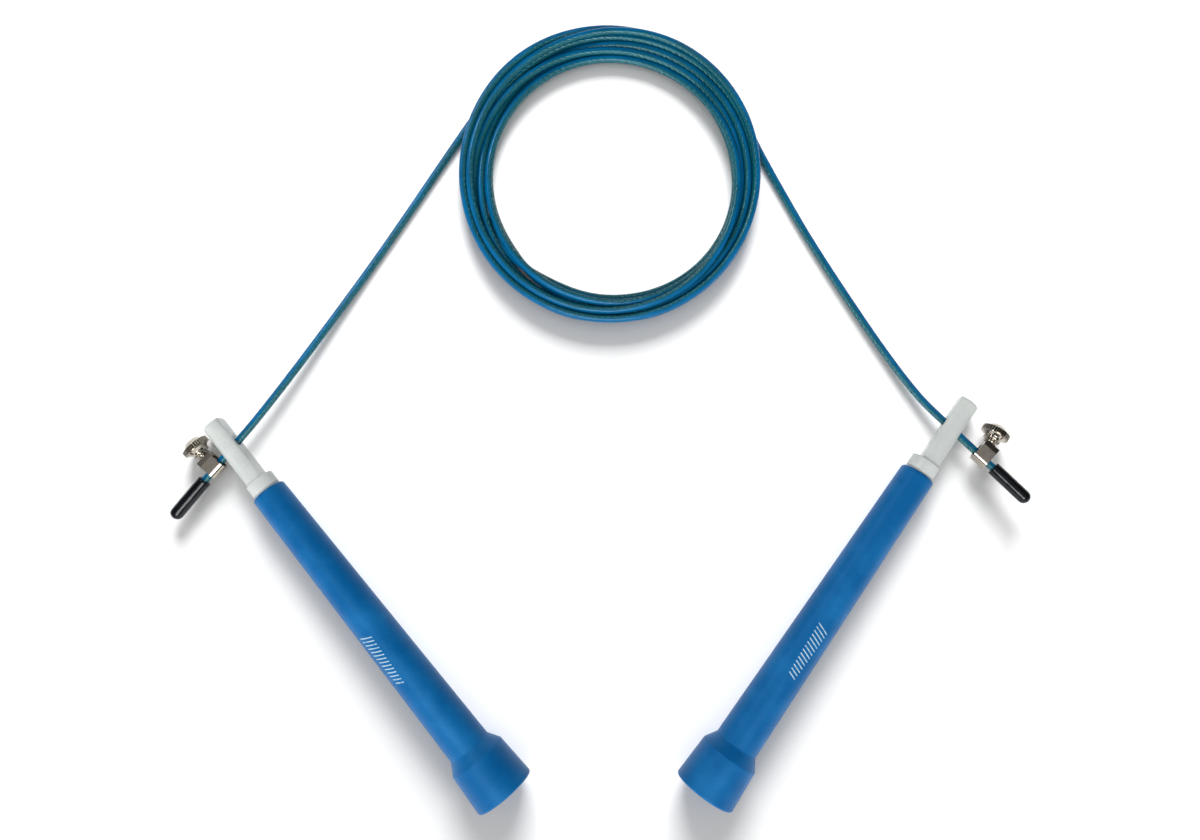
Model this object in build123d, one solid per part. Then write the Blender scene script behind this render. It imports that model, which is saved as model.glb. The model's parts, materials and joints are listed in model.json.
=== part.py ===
from build123d import *
import math
import os
from dataclasses import dataclass

# Speed rope laid down on a flat surface: two hollow grips with flared ends, a nylon swivel arm
# in the nose of each, and one plastic-coated steel cable that runs through both arms, is held by
# a clamp and thumbscrew behind each arm, and lies coiled between them.
# Millimetres and degrees, +Z up. The origin is on the surface, under the middle of the two handles.

# Grip: distances run along the axis from the nose face to the open end.
GRIP_LENGTH = 134.0
NOSE_RADIUS = 6.2
NOSE_ROUND = 1.2
CONE_END = 114.0
CONE_RADIUS = 7.9
SHOULDER_END = 118.3
SHOULDER_RADIUS = 10.5
RIM_RADIUS = 11.4
RIM_ROUND = 0.7
SHOULDER_ROUND = 2.0
GRIP_WALL = 1.8
NOSE_DEPTH = 15.0

# End plug that closes the flared end.
PLUG_RADIUS = 9.35
PLUG_THICKNESS = 3.0
PLUG_INSET = 0.4
PLUG_FIT = 0.04
PLUG_SEAT = 0.6

# Swivel arm: shank in the nose, collar outside it, then a bar with one flat side.
SHANK_RADIUS = 2.5
SHANK_CLEARANCE = 0.08
ARM_REACH = 30.8
BAR_RADIUS = 4.6
BAR_FLAT = 2.5
BAR_TIP_ROUND = 1.6
COLLAR_RADIUS = 5.2
COLLAR_START = 0.5
COLLAR_END = 5.1
HOLE_REACH = 19.8
CABLE_SKEW = 101.0
CABLE_BORE_CLEARANCE = 0.09

# Washers and screw that keep the arm in the nose.
THRUST_RADIUS = 4.9
THRUST_HOLE = 2.7
THRUST_THICKNESS = 0.45
KEEPER_START = 15.3
KEEPER_RADIUS = 4.2
KEEPER_HOLE = 1.6
KEEPER_THICKNESS = 0.8
SCREW_RADIUS = 1.45
SCREW_HOLE = 1.5
SCREW_DEPTH = 12.0
SCREW_HEAD_RADIUS = 2.75
SCREW_HEAD_HEIGHT = 2.2
RECESS_WIDTH = 0.7
RECESS_LENGTH = 3.0
RECESS_DEPTH = 1.2

# Cable and what is on it: distances run along the cable from the middle of the arm's hole.
CABLE_RADIUS = 1.35
CABLE_BEND = 20.0
CABLE_STRAIGHT = 8.0
CAP_RADIUS = 2.1
CAP_FIT = 0.05
CAP_END_WALL = 1.3
CAP_DOME = 1.9

# Clamp: a bent strip loop round the cable, with the thumbscrew in its thick end.
STRAP_WIDTH = 5.5
STRAP_WALL = 0.85
STRAP_CAVITY_HALF = 1.9
STRAP_CAVITY_LOW = -2.0
STRAP_CAVITY_HIGH = 3.5
STRAP_HIGH = 5.3
STRAP_SHOULDER = 3.4
STRAP_END_HALF = 2.35
STRAP_BEND = 2.5
STRAP_CAVITY_BEND = 1.3
STRAP_CORNER = 0.5
THREAD_RADIUS = 1.8
THREAD_CLEARANCE = 0.05
TIP_START = 1.56
TIP_RADIUS = 0.6
TIP_END = 2.3
NECK_START = 7.0
NECK_RADIUS = 3.35
KNURL_START = 9.0
KNURL_RADIUS = 5.0
KNURL_END = 11.2
DOME_RADIUS = 3.6
DOME_END = 12.8

# Coil: the outer shape of the wound cable.
COIL_CENTRE = (6.7, 150.5)
COIL_RADIUS = 52.7
COIL_HOLE_CENTRE = (8.0, 148.2)
COIL_HOLE_RADIUS = 41.5
COIL_HEIGHT = 8.0
COIL_ROUND = 2.5
JOIN_RADIUS = COIL_RADIUS - CABLE_RADIUS

FILLET_SHARE = 0.45


@dataclass(frozen=True)
class Side:
    """One handle: where its nose lies, which way it points, and where its clamp and cap sit."""

    name: str
    nose: tuple
    heading: float
    arm_turn: float
    clamp_at: float
    cap_at: float
    cap_length: float
    strap_heading: float
    screw_heading: float
    screw_drop: float
    join_angle: float
    route: tuple


LEFT = Side(
    name="left",
    nose=(-113.6, 37.9),
    heading=128.8,
    arm_turn=0.0,
    clamp_at=9.6,
    cap_at=15.5,
    cap_length=17.2,
    strap_heading=138.0,
    screw_heading=132.5,
    screw_drop=-2.0,
    join_angle=150.0,
    route=(
        (-82.5, 111.0, CABLE_RADIUS),
        (-66.0, 134.6, CABLE_RADIUS),
        (-51.8, 155.6, CABLE_RADIUS),
        (-42.5, 169.0, CABLE_RADIUS),
    ),
)
RIGHT = Side(
    name="right",
    nose=(115.1, 44.1),
    heading=55.5,
    arm_turn=171.3,
    clamp_at=15.0,
    cap_at=20.4,
    cap_length=16.4,
    strap_heading=45.0,
    screw_heading=56.5,
    screw_drop=9.0,
    join_angle=20.0,
    route=(
        (80.5, 121.9, CABLE_RADIUS),
        (65.8, 147.4, CABLE_RADIUS),
        (59.1, 159.7, CABLE_RADIUS),
    ),
)

# The grip lies on its nose edge and its rim, so its axis climbs towards the rim.
LIE_ANGLE = math.degrees(math.atan2(RIM_RADIUS - NOSE_RADIUS, GRIP_LENGTH - RIM_ROUND - NOSE_ROUND))
NOSE_HEIGHT = NOSE_RADIUS * math.cos(math.radians(LIE_ANGLE)) - NOSE_ROUND * math.tan(math.radians(LIE_ANGLE))


def heading_vector(heading, climb):
    """Return the unit vector at a heading in the plan, climbing by an angle."""
    across = math.cos(math.radians(climb))
    turned = math.radians(heading)
    return Vector(across * math.cos(turned), across * math.sin(turned), math.sin(math.radians(climb)))


def handle_plane(side):
    """Return the handle's frame: +X from the nose face to the arm's tip, +Z nearly up."""
    forward = heading_vector(side.heading, -LIE_ANGLE)
    upward = heading_vector(side.heading, 90 - LIE_ANGLE)
    return Plane(origin=(*side.nose, NOSE_HEIGHT), x_dir=forward, z_dir=upward)


def arm_location(side):
    """Return the arm's frame: the handle's, turned about its axis so that +Y is the tail side."""
    return handle_plane(side).location * Rot(side.arm_turn, 0, 0)


def cable_plane(side):
    """Return the cable's frame at the arm's hole: +Z along the cable towards its tail end."""
    place = arm_location(side)
    hole = place * Pos(HOLE_REACH, 0, 0)
    ahead = place * Pos(HOLE_REACH + math.cos(math.radians(CABLE_SKEW)), math.sin(math.radians(CABLE_SKEW)), 0)
    return Plane(origin=hole.position, z_dir=ahead.position - hole.position)


def clamp_plane(side, heading):
    """Return a frame at the clamp: +X along a heading, +Y near the cable's line towards its tail."""
    along = cable_plane(side).z_dir
    across = heading_vector(heading, -side.screw_drop)
    centre = cable_plane(side).origin + along * side.clamp_at
    return Plane(origin=centre, x_dir=across, z_dir=across.cross(along))


def rounded_profile(points, rounds):
    """Return a closed face through the points, with each listed corner rounded."""
    face = make_face(Polyline(*points, close=True))
    for corner, radius in rounds.items():
        spot = Vector(*points[corner])
        face = fillet(face.vertices().sort_by_distance(spot)[0], radius)
    return face


def grip():
    """Hollow tapered grip, with a solid nose that carries the shank and a flared open end."""
    bore = SHANK_RADIUS + SHANK_CLEARANCE
    seat = PLUG_RADIUS + PLUG_FIT
    seat_depth = GRIP_LENGTH - PLUG_INSET - PLUG_THICKNESS
    cavity_rear = seat - PLUG_SEAT
    points = [
        (0, bore),
        (0, NOSE_RADIUS),
        (-CONE_END, CONE_RADIUS),
        (-SHOULDER_END, SHOULDER_RADIUS),
        (-GRIP_LENGTH, RIM_RADIUS),
        (-GRIP_LENGTH, seat),
        (-seat_depth, seat),
        (-seat_depth, cavity_rear),
        (-SHOULDER_END, cavity_rear),
        (-CONE_END + GRIP_WALL, CONE_RADIUS - GRIP_WALL),
        (-NOSE_DEPTH, NOSE_RADIUS - GRIP_WALL + 0.2),
        (-NOSE_DEPTH, bore),
    ]
    rounds = {1: NOSE_ROUND, 2: SHOULDER_ROUND, 3: SHOULDER_ROUND, 4: RIM_ROUND}
    return revolve(rounded_profile(points, rounds), Axis.X)


def end_plug():
    """Disc with a chamfered face that closes the flared end of the grip."""
    rear = -(GRIP_LENGTH - PLUG_INSET)
    disc = Rot(0, 90, 0) * Cylinder(PLUG_RADIUS, PLUG_THICKNESS)
    disc = Pos(rear + PLUG_THICKNESS / 2, 0, 0) * disc
    return chamfer(disc.edges().group_by(Axis.X)[0], 0.4)


def swivel_arm():
    """Moulded arm: shank, collar and flat-sided bar with the skewed hole for the cable."""
    points = [
        (-KEEPER_START, 0),
        (-KEEPER_START, SHANK_RADIUS),
        (COLLAR_START, SHANK_RADIUS),
        (COLLAR_START, COLLAR_RADIUS),
        (COLLAR_END, COLLAR_RADIUS),
        (COLLAR_END + 1.2, BAR_RADIUS),
        (ARM_REACH, BAR_RADIUS),
        (ARM_REACH, 0),
    ]
    body = revolve(rounded_profile(points, {3: 0.4, 4: 0.6, 6: BAR_TIP_ROUND}), Axis.X)
    waste_length = ARM_REACH - COLLAR_END + 2
    waste = Box(waste_length, 2 * BAR_RADIUS, 3 * BAR_RADIUS)
    waste = Pos(COLLAR_END + waste_length / 2, -BAR_FLAT - BAR_RADIUS, 0) * waste
    screw_hole = Rot(0, 90, 0) * Cylinder(SCREW_HOLE, 2 * SCREW_DEPTH)
    body = body - waste - Pos(-KEEPER_START, 0, 0) * screw_hole
    return body - cable_hole()


def cable_hole():
    """The cable's running bore through the bar, with a small lead-in at each mouth."""
    bore = CABLE_RADIUS + CABLE_BORE_CLEARANCE
    cutter = Cylinder(bore, 4 * BAR_RADIUS)
    flat_mouth = Pos(0, 0, -BAR_FLAT - 0.2) * Cone(bore + 0.9, bore, 1.2)
    across = Rot(0, 0, CABLE_SKEW - 90) * Rot(-90, 0, 0)
    return Pos(HOLE_REACH, 0, 0) * across * (cutter + flat_mouth)


def ring(inner, outer, start, thickness):
    """Flat ring round the X axis, from one distance and a thickness forward."""
    plate = Cylinder(outer, thickness) - Cylinder(inner, 2 * thickness)
    return Pos(start + thickness / 2, 0, 0) * Rot(0, 90, 0) * plate


def thrust_washer():
    """Thin washer between the nose face and the collar."""
    return ring(THRUST_HOLE, THRUST_RADIUS, 0, THRUST_THICKNESS)


def retaining_washer():
    """Steel washer that keeps the shank from pulling out of the nose."""
    return ring(KEEPER_HOLE, KEEPER_RADIUS, -KEEPER_START - KEEPER_THICKNESS, KEEPER_THICKNESS)


def retaining_screw():
    """Pan-head screw that holds the steel washer to the end of the shank."""
    seat = -KEEPER_START - KEEPER_THICKNESS
    thread = Rot(0, 90, 0) * Cylinder(SCREW_RADIUS, SCREW_DEPTH)
    thread = Pos(seat + SCREW_DEPTH / 2, 0, 0) * thread
    head = Rot(0, 90, 0) * Cylinder(SCREW_HEAD_RADIUS, SCREW_HEAD_HEIGHT)
    head = fillet(head.edges().group_by(Axis.X)[0], 0.8)
    head = Pos(seat - SCREW_HEAD_HEIGHT / 2, 0, 0) * head
    slots = Box(RECESS_DEPTH, RECESS_WIDTH, RECESS_LENGTH) + Box(RECESS_DEPTH, RECESS_LENGTH, RECESS_WIDTH)
    return thread + head - Pos(seat - SCREW_HEAD_HEIGHT + RECESS_DEPTH / 2, 0, 0) * slots


def clamp_strap(side):
    """Bent strip loop round the cable, its thick end bored askew for the thumbscrew, in place."""
    low = STRAP_CAVITY_LOW - STRAP_WALL
    half = STRAP_CAVITY_HALF + STRAP_WALL
    outer = [
        (low, -half),
        (STRAP_SHOULDER, -half),
        (STRAP_HIGH, -STRAP_END_HALF),
        (STRAP_HIGH, STRAP_END_HALF),
        (STRAP_SHOULDER, half),
        (low, half),
    ]
    outer_face = rounded_profile(outer, {0: STRAP_BEND, 2: STRAP_CORNER, 3: STRAP_CORNER, 5: STRAP_BEND})
    near = (STRAP_CAVITY_LOW, STRAP_CAVITY_HIGH)
    tall = STRAP_CAVITY_HALF
    inner = [(near[0], -tall), (near[1], -tall), (near[1], tall), (near[0], tall)]
    inner_face = rounded_profile(inner, {0: STRAP_CAVITY_BEND, 3: STRAP_CAVITY_BEND})
    loop = extrude(Plane.XZ * (outer_face - inner_face), STRAP_WIDTH / 2, both=True)
    drill = Pos(STRAP_HIGH, 0, 0) * Rot(0, 90, 0) * Cylinder(THREAD_RADIUS + THREAD_CLEARANCE, 5)
    strap = clamp_plane(side, side.strap_heading).location * loop
    return strap - clamp_plane(side, side.screw_heading).location * drill


def thumbscrew():
    """Turned screw with a stepped neck, a wide rim for the fingers and a low domed top."""
    points = [
        (TIP_START, 0),
        (TIP_START, TIP_RADIUS),
        (TIP_END, THREAD_RADIUS),
        (NECK_START, THREAD_RADIUS),
        (NECK_START, NECK_RADIUS),
        (KNURL_START, NECK_RADIUS),
        (KNURL_START, KNURL_RADIUS),
        (KNURL_END, KNURL_RADIUS),
        (DOME_END, DOME_RADIUS),
        (DOME_END, 0),
    ]
    return revolve(rounded_profile(points, {4: 0.3, 6: 0.4, 7: 0.5, 8: 0.8}), Axis.X)


def end_cap(side):
    """Vinyl cap on the cut end of the cable, in the cable's frame."""
    body = Cylinder(CAP_RADIUS, side.cap_length, align=(Align.CENTER, Align.CENTER, Align.MIN))
    body = fillet(body.edges().group_by(Axis.Z)[-1], CAP_DOME)
    body = fillet(body.edges().group_by(Axis.Z)[0], 0.3)
    depth = side.cap_length - CAP_END_WALL
    bore = Cylinder(CABLE_RADIUS + CAP_FIT, depth, align=(Align.CENTER, Align.CENTER, Align.MIN))
    return Pos(0, 0, side.cap_at) * (body - bore)


def run_points(side):
    """Return the points of one cable run, from inside its cap to where it joins the coil."""
    line = cable_plane(side)
    tail_end = side.cap_at + side.cap_length - CAP_END_WALL - 0.2
    turned = math.radians(side.join_angle)
    joined = Vector(
        COIL_CENTRE[0] + JOIN_RADIUS * math.cos(turned),
        COIL_CENTRE[1] + JOIN_RADIUS * math.sin(turned),
        CABLE_RADIUS,
    )
    start = line.origin + line.z_dir * tail_end
    bend = line.origin - line.z_dir * CABLE_BEND
    return [start, bend] + [Vector(*point) for point in side.route] + [joined]


def corner_radii(points):
    """Return the largest even arc radius that each corner's runs allow, clear of the arm's hole."""
    radii = []
    room = CABLE_BEND - CABLE_STRAIGHT
    for before, corner, after in zip(points, points[1:], points[2:]):
        shorter = min((corner - before).length, (after - corner).length)
        turn = (corner - before).get_angle(after - corner)
        radii.append(min(FILLET_SHARE * shorter, room) / math.tan(math.radians(turn) / 2))
        room = shorter
    return radii


def cable_run(side):
    """Cable between one cap and the coil: straight runs joined by wide arcs."""
    points = run_points(side)
    radii = corner_radii(points)
    path = FilletPolyline(*points, radius=radii)
    profile = Plane(origin=points[0], z_dir=points[1] - points[0]) * Circle(CABLE_RADIUS)
    tube = sweep(profile, path=path)
    expected = math.pi * CABLE_RADIUS**2 * path.length
    print(side.name, "run", round(path.length, 1), "radii", [round(radius) for radius in radii])
    print(side.name, "tube volume", round(tube.volume, 1), "expected", round(expected, 1))
    return tube


def cable_coil():
    """The coil's outer shape: a low rounded ring, wider where the turns spread."""
    outer = Pos(*COIL_CENTRE) * Circle(COIL_RADIUS)
    hole = Pos(*COIL_HOLE_CENTRE) * Circle(COIL_HOLE_RADIUS)
    body = extrude(outer - hole, COIL_HEIGHT)
    rims = body.edges().group_by(Axis.Z)[0] + body.edges().group_by(Axis.Z)[-1]
    return fillet(rims, COIL_ROUND)


def side_nodes(side):
    """Return every node of one handle and its end of the cable, placed in the part's frame."""
    handle = handle_plane(side).location
    arm = arm_location(side)
    screw = clamp_plane(side, side.screw_heading).location
    return {
        f"{side.name}_grip": handle * grip(),
        f"{side.name}_end_plug": handle * end_plug(),
        f"{side.name}_thrust_washer": handle * thrust_washer(),
        f"{side.name}_swivel_arm": arm * swivel_arm(),
        f"{side.name}_retaining_washer": arm * retaining_washer(),
        f"{side.name}_retaining_screw": arm * retaining_screw(),
        f"{side.name}_clamp_strap": clamp_strap(side),
        f"{side.name}_thumbscrew": screw * thumbscrew(),
        f"{side.name}_end_cap": cable_plane(side).location * end_cap(side),
        f"cable_{side.name}_run": cable_run(side),
    }


nodes = {**side_nodes(LEFT), **side_nodes(RIGHT), "cable_coil": cable_coil()}
os.makedirs("parts", exist_ok=True)
for node, shape in nodes.items():
    export_step(shape, f"parts/{node}.step")
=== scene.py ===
import json
import logging
import math
from dataclasses import dataclass, field
from enum import Enum
from itertools import combinations

import bmesh
import bpy
import numpy as np
from mathutils import Matrix, Vector


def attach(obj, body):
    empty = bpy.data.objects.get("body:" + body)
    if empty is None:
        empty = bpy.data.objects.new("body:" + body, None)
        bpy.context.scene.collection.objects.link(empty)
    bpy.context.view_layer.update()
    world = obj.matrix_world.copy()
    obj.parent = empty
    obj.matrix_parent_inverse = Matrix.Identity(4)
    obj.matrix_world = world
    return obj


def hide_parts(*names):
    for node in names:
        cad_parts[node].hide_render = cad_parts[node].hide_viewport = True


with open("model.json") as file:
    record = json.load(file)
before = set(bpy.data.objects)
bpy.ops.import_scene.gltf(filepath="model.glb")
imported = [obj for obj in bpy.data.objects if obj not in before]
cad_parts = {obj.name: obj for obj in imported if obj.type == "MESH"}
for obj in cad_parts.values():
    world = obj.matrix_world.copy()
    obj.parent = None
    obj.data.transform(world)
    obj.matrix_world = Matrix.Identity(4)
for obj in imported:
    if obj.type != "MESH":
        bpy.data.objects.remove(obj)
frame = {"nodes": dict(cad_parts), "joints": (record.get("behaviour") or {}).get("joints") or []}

MM = 0.001
log = logging.getLogger("speed_rope")


class Hand(Enum):
    """Which of the two handles a piece belongs to."""

    LEFT = "left"
    RIGHT = "right"


class Reach(Enum):
    """What a lamp lights: the floor alone, or everything but the floor."""

    FLOOR = "INCLUDE"
    ROPE = "EXCLUDE"


class Slot(Enum):
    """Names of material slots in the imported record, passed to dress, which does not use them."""

    GRIP = "grip_blue"
    PLUG = "plug_blue"
    ARM = "arm_white"
    WASHER = "washer_white"
    NICKEL = "nickel"
    CAP = "cap_black"
    CABLE = "cable_blue"


# ---------------------------------------------------------------- places, read from the frame


def joint_named(name: str) -> dict:
    """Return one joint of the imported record.

    Args:
        name: The joint's name.

    Returns:
        The joint as a dict.
    """
    return next(joint for joint in frame["joints"] if joint["name"] == name)


def axes_matrix(origin: Vector, along: Vector, near: Vector) -> Matrix:
    """Return a frame whose X runs along one direction and whose Y leans towards another.

    Args:
        origin: The frame's origin, in metres.
        along: The direction of X.
        near: A direction that Y comes as close to as it can.

    Returns:
        A matrix that takes millimetres in that frame to metres in the row frame.
    """
    x_axis = along.normalized()
    y_axis = (near - near.dot(x_axis) * x_axis).normalized()
    z_axis = x_axis.cross(y_axis)
    turn = Matrix((x_axis, y_axis, z_axis)).transposed().to_4x4()
    return Matrix.Translation(origin) @ turn @ Matrix.Scale(MM, 4)


@dataclass
class Place:
    """Where the pieces of one handle lie, worked out from its joints.

    The strip loop sits squarer on the cable than its screw does, so its heading, in degrees
    anticlockwise from +X, is a size of its own.
    """

    hand: Hand
    strap_heading: float
    handle: Matrix = field(init=False)
    arm: Matrix = field(init=False)
    strap: Matrix = field(init=False)
    clamp: Matrix = field(init=False)
    line: Matrix = field(init=False)
    hole: Vector = field(init=False)
    tail: Vector = field(init=False)

    def __post_init__(self) -> None:
        """Read the joints and build the frames."""
        spin = joint_named(f"{self.hand.value}_handle_spin")
        swing = joint_named(f"{self.hand.value}_arm_swing")
        screw = joint_named(f"{self.hand.value}_thumbscrew_turn")
        tip = Vector(spin["axis"]).normalized()
        self.hole = Vector(swing["pos_m"])
        self.tail = Vector(swing["axis"]).normalized()
        up = Vector((0, 0, 1))
        self.handle = axes_matrix(Vector(spin["pos_m"]), tip, up.cross(tip))
        self.arm = axes_matrix(Vector(spin["pos_m"]), tip, self.tail)
        screw_at, screw_along = Vector(screw["pos_m"]), Vector(screw["axis"]).normalized()
        self.clamp = axes_matrix(screw_at, screw_along, self.tail)
        heading = math.radians(self.strap_heading)
        across = Vector((math.cos(heading), math.sin(heading), 0))
        across *= math.hypot(screw_along.x, screw_along.y)
        across.z = screw_along.z
        self.strap = axes_matrix(screw_at, across, self.tail)
        self.line = axes_matrix(self.hole, self.tail, tip)

    def node(self, piece: str) -> str:
        """Return the name of one of this handle's nodes."""
        return f"{self.hand.value}_{piece}"


# ---------------------------------------------------------------- outlines and meshes


Point = tuple[float, float]

SHARP_ROUND = 0.02  # radius of a corner that stays sharp
MOST_CUT = 0.48  # most of a side that one corner's arc may take
HOLD = 0.25  # farthest that a holding point lies from its arc
HOLD_SHARE = 0.3  # and the share of the straight it may take


def rounded_outline(
    points: list[Point], rounds: dict[int, float], closed: bool = False, steps: int = 5
) -> list[Point]:
    """Return an outline with arcs at the listed corners and holding points beside them.

    Args:
        points: Corners of the outline, in order.
        rounds: Corner index to arc radius. The other corners stay sharp.
        closed: Whether the last point joins the first.
        steps: Number of straight steps in each arc.

    Returns:
        The outline's points. A sharp corner gets close neighbours, so that it shades crisply.
    """
    result: list[Point] = []
    count = len(points)
    for index, (px, py) in enumerate(points):
        if not closed and index in (0, count - 1):
            result.append((px, py))
            continue
        here = Vector((px, py))
        back = Vector(points[(index - 1) % count]) - here
        ahead = Vector(points[(index + 1) % count]) - here
        half = back.angle(ahead) / 2
        radius = rounds.get(index, SHARP_ROUND)
        cut = min(radius / math.tan(half), MOST_CUT * back.length, MOST_CUT * ahead.length)
        radius = cut * math.tan(half)
        first = here + back.normalized() * cut
        last = here + ahead.normalized() * cut
        hold_back = min(HOLD, HOLD_SHARE * (back.length - cut))
        hold_ahead = min(HOLD, HOLD_SHARE * (ahead.length - cut))
        centre = here + (back.normalized() + ahead.normalized()).normalized() * math.hypot(radius, cut)
        result.append(tuple(first + back.normalized() * hold_back))
        arc_steps = steps if index in rounds else 1
        start = (first - centre).normalized()
        end = (last - centre).normalized()
        turn = start.angle_signed(end)
        for step in range(arc_steps + 1):
            spoke = start.copy()
            spoke.rotate(Matrix.Rotation(-turn * step / arc_steps, 2))
            result.append(tuple(centre + spoke * radius))
        result.append(tuple(last + ahead.normalized() * hold_ahead))
    return result


def lathe(outline: list[Point], segments: int = 96, closed: bool = False) -> bmesh.types.BMesh:
    """Turn an outline of (distance, radius) about the X axis.

    Args:
        outline: Points along the outline. A radius of nought makes a pole.
        segments: Steps round the axis.
        closed: Whether the outline is a loop, as on a hollow piece.

    Returns:
        The turned shape, with its faces pointing outwards.
    """
    shape = bmesh.new()
    rings = []
    for along, radius in outline:
        if radius < 1e-6:
            rings.append([shape.verts.new((along, 0, 0))])
            continue
        ring = []
        for step in range(segments):
            angle = 2 * math.pi * step / segments
            ring.append(shape.verts.new((along, radius * math.cos(angle), radius * math.sin(angle))))
        rings.append(ring)
    join_rings(shape, rings, closed)
    return shape


def join_rings(shape: bmesh.types.BMesh, rings: list[list], closed: bool) -> None:
    """Fill the faces between neighbouring rings, a ring of one vertex being a pole.

    Args:
        shape: The mesh under construction.
        rings: Rings of vertices, in order.
        closed: Whether the last ring joins the first.
    """
    pairs = list(zip(rings, rings[1:]))
    if closed:
        pairs.append((rings[-1], rings[0]))
    for low, high in pairs:
        steps = max(len(low), len(high))
        for step in range(steps):
            after = (step + 1) % steps
            if len(low) == 1:
                shape.faces.new((low[0], high[after], high[step]))
            elif len(high) == 1:
                shape.faces.new((low[step], low[after], high[0]))
            else:
                shape.faces.new((low[step], low[after], high[after], high[step]))
    bmesh.ops.recalc_face_normals(shape, faces=shape.faces)


def quarter(steps: int) -> list[float]:
    """Return the angles of a quarter turn cut in equal steps, in radians."""
    return [math.radians(90 * step / steps) for step in range(steps + 1)]


def prism(outline: list[Point], thickness: float) -> bmesh.types.BMesh:
    """Extrude an outline in the X-Z plane to both sides of it along Y.

    Args:
        outline: Corners in order, as (x, z).
        thickness: Whole thickness along Y.

    Returns:
        The closed solid.
    """
    shape = bmesh.new()
    near = [shape.verts.new((x, -thickness / 2, z)) for x, z in outline]
    far = [shape.verts.new((x, thickness / 2, z)) for x, z in outline]
    count = len(outline)
    for index in range(count):
        after = (index + 1) % count
        shape.faces.new((near[index], near[after], far[after], far[index]))
    shape.faces.new(near)
    shape.faces.new(far)
    bmesh.ops.recalc_face_normals(shape, faces=shape.faces)
    return shape


def place_mesh(shape: bmesh.types.BMesh, name: str, matrix: Matrix) -> bpy.types.Object:
    """Put a shape made in millimetres where it belongs, as an object at the origin.

    Args:
        shape: The shape, which is freed.
        name: The new object's name.
        matrix: Takes the shape's millimetres to metres in the row frame.

    Returns:
        The object, smooth shaded.
    """
    shape.transform(matrix)
    mesh = bpy.data.meshes.new(name)
    shape.to_mesh(mesh)
    shape.free()
    mesh.shade_smooth()
    piece = bpy.data.objects.new(name, mesh)
    bpy.context.scene.collection.objects.link(piece)
    return piece


def baked(piece: bpy.types.Object) -> bpy.types.Object:
    """Apply a piece's modifiers, leaving a plain mesh.

    Args:
        piece: The object to bake.

    Returns:
        The same object, or a new mesh object in its place if it was a curve.
    """
    bpy.context.view_layer.update()
    graph = bpy.context.evaluated_depsgraph_get()
    final = piece.evaluated_get(graph)
    mesh = bpy.data.meshes.new_from_object(final, preserve_all_data_layers=True, depsgraph=graph)
    if piece.type == "MESH":
        piece.modifiers.clear()
        piece.data = mesh
        return piece
    name = piece.name
    bpy.data.objects.remove(piece)
    result = bpy.data.objects.new(name, mesh)
    bpy.context.scene.collection.objects.link(result)
    return result


def cut(piece: bpy.types.Object, tool: bpy.types.Object) -> None:
    """Cut one closed shape out of another and delete the tool.

    Args:
        piece: The object that is cut.
        tool: The object that is taken away.
    """
    modifier = piece.modifiers.new("cut", "BOOLEAN")
    modifier.operation = "DIFFERENCE"
    modifier.solver = "EXACT"
    modifier.object = tool
    baked(piece)
    bpy.data.objects.remove(tool)


def soften(piece: bpy.types.Object, width: float, angle: float = 35.0, segments: int = 3) -> None:
    """Round a piece's sharp edges with a small bevel and keep its flats flat.

    Args:
        piece: The object.
        width: Bevel width in millimetres.
        angle: Edges sharper than this, in degrees, are rounded.
        segments: Steps across the bevel.
    """
    bevel = piece.modifiers.new("soften", "BEVEL")
    bevel.width = width * MM
    bevel.segments = segments
    bevel.limit_method = "ANGLE"
    bevel.angle_limit = math.radians(angle)
    bevel.harden_normals = True
    baked(piece)


def dress(
    piece: bpy.types.Object, material: bpy.types.Material, slot: Slot, body: str, *nodes: str
) -> None:
    """Give a piece its material, put it on its body and hide the nodes that it stands for.

    Args:
        piece: The finished object.
        material: Its material.
        slot: Not used.
        body: The body it moves with.
        *nodes: The nodes it stands for.
    """
    piece.data.materials.clear()
    piece.data.materials.append(material)
    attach(piece, body)
    if nodes:
        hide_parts(*nodes)
    log.info("%s rides on %s", piece.name, body)


# ---------------------------------------------------------------- node helpers


Socket = bpy.types.NodeSocket
Sockets = bpy.types.bpy_prop_collection
Group = bpy.types.NodeTree
BUMP_DEPTH = 0.0002


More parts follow.
